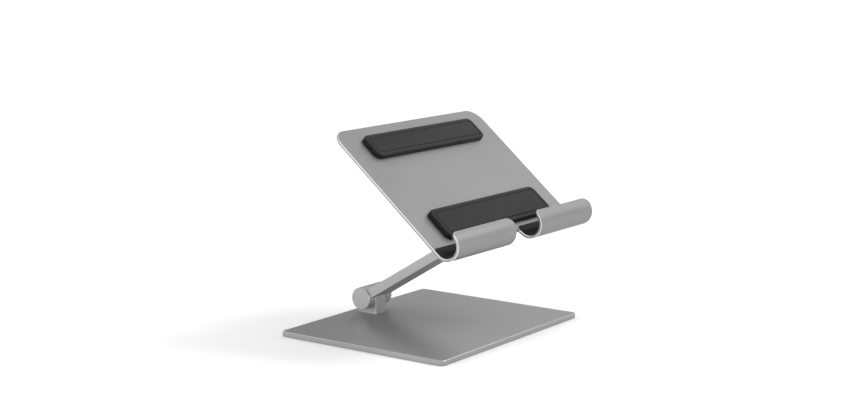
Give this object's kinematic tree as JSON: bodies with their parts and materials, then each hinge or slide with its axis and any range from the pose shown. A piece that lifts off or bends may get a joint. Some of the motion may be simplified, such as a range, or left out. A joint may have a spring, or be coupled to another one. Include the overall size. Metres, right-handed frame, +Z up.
{
  "type": "tablet stand",
  "caption": "Foldable tablet stand: flat rectangular base, friction-hinged arm and a tilting sheet tray with padded hooks for the tablet's lower edge.",
  "frame": {"origin": "on the resting surface, under the centre of the base plate", "axes": "+X to the right of the person at the tablet, -Y towards that person, +Z up"},
  "size_m": [0.17, 0.152, 0.1478],
  "materials": {
    "plate_aluminium": "fine blasted and anodised, silver, with a bright cut bevel",
    "hinge_aluminium": "fine blasted and anodised, silver",
    "tray_aluminium": "fine blasted and anodised, silver, with bright cut edges",
    "pad_silicone": "matt black silicone",
    "mat_silicone": "matt black silicone, finely textured",
    "fastener_steel": "zinc-plated steel",
    "bearing_polymer": "dark grey acetal"
  },
  "bodies": {
    "base": {"base_plate": "plate_aluminium", "base_mat": "mat_silicone", "base_post": "hinge_aluminium", "base_post_screws": "fastener_steel", "base_hinge_bush": "bearing_polymer", "base_hinge_washer_left": "bearing_polymer", "base_hinge_washer_right": "bearing_polymer"},
    "swing_arm": {"arm": "hinge_aluminium", "base_hinge_bolt": "fastener_steel", "base_hinge_springs": "fastener_steel", "base_hinge_cap": "hinge_aluminium", "tray_hinge_bolt": "fastener_steel", "tray_hinge_springs": "fastener_steel", "tray_hinge_cap": "hinge_aluminium"},
    "tray": {"tray_panel": "tray_aluminium", "tray_lug": "hinge_aluminium", "tray_lug_screws": "fastener_steel", "tray_hinge_bush": "bearing_polymer", "tray_hinge_washer_left": "bearing_polymer", "tray_hinge_washer_right": "bearing_polymer", "lower_back_pad": "pad_silicone", "upper_back_pad": "pad_silicone", "hook_liner_left": "pad_silicone", "hook_liner_right": "pad_silicone"}
  },
  "joints": [
    {"name": "base_hinge", "type": "hinge", "parent": "base", "child": "swing_arm", "pos_m": [0, 0.0546, 0.0158], "axis": [-1, 0, 0], "range_deg": [-29.3, 58.7]},
    {"name": "tray_hinge", "type": "hinge", "parent": "swing_arm", "child": "tray", "pos_m": [0, -0.04306, 0.07518], "axis": [1, 0, 0], "range_deg": [-71.1, 18.9]}
  ]
}
